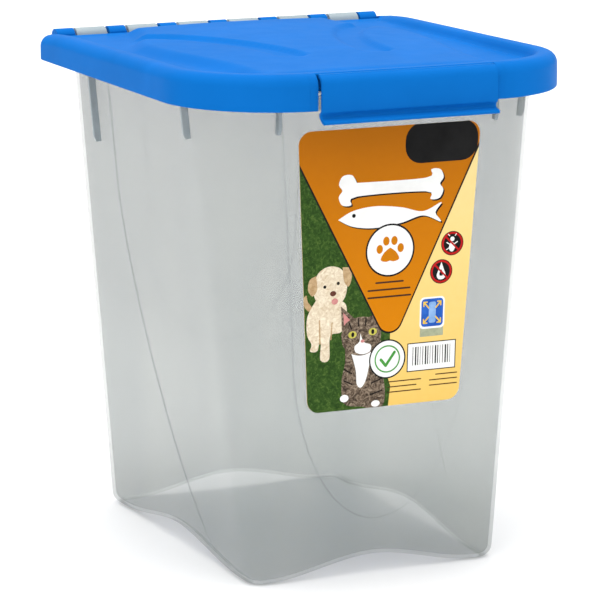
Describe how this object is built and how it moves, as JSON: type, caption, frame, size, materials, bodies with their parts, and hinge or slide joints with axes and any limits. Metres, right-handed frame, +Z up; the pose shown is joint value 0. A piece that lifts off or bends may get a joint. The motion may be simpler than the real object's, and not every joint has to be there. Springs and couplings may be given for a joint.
{
  "type": "pet food bin",
  "caption": "Tapered clear plastic bin on arched feet with a blue lid on a rear barrel hinge, a lid seal and a front latch flap.",
  "frame": {"origin": "on the floor, at the middle of the whole object's width and depth", "axes": "+Z up, the latch and label face -Y, the hinge is at +Y, +X to the right seen from the front"},
  "size_m": [0.249, 0.2902, 0.3101],
  "materials": {
    "clear_plastic": "translucent natural polypropylene, satin",
    "blue_plastic": "moulded blue polypropylene, satin",
    "label_film": "printed film",
    "rod_plastic": "plain rod",
    "seal_rubber": "soft white seal"
  },
  "bodies": {
    "bin": {"bin_shell": "clear_plastic", "bin_hinge_knuckles": "clear_plastic", "bin_gussets": "clear_plastic", "front_label": "label_film"},
    "lid": {"lid_shell": "blue_plastic", "lid_hinge_knuckles": "blue_plastic", "hinge_rod": "rod_plastic", "lid_seal_ribs": "blue_plastic", "lid_seal": "seal_rubber", "latch_web": "blue_plastic"},
    "latch": {"latch_flap": "blue_plastic"}
  },
  "joints": [
    {"name": "lid_hinge", "type": "hinge", "parent": "bin", "child": "lid", "pos_m": [0, 0.1399, 0.301], "axis": [-1, 0, 0], "range_deg": [0, 240]},
    {"name": "latch_hinge", "type": "hinge", "parent": "lid", "child": "latch", "pos_m": [0, -0.1356, 0.3097], "axis": [-1, 0, 0], "range_deg": [0, 110]}
  ]
}
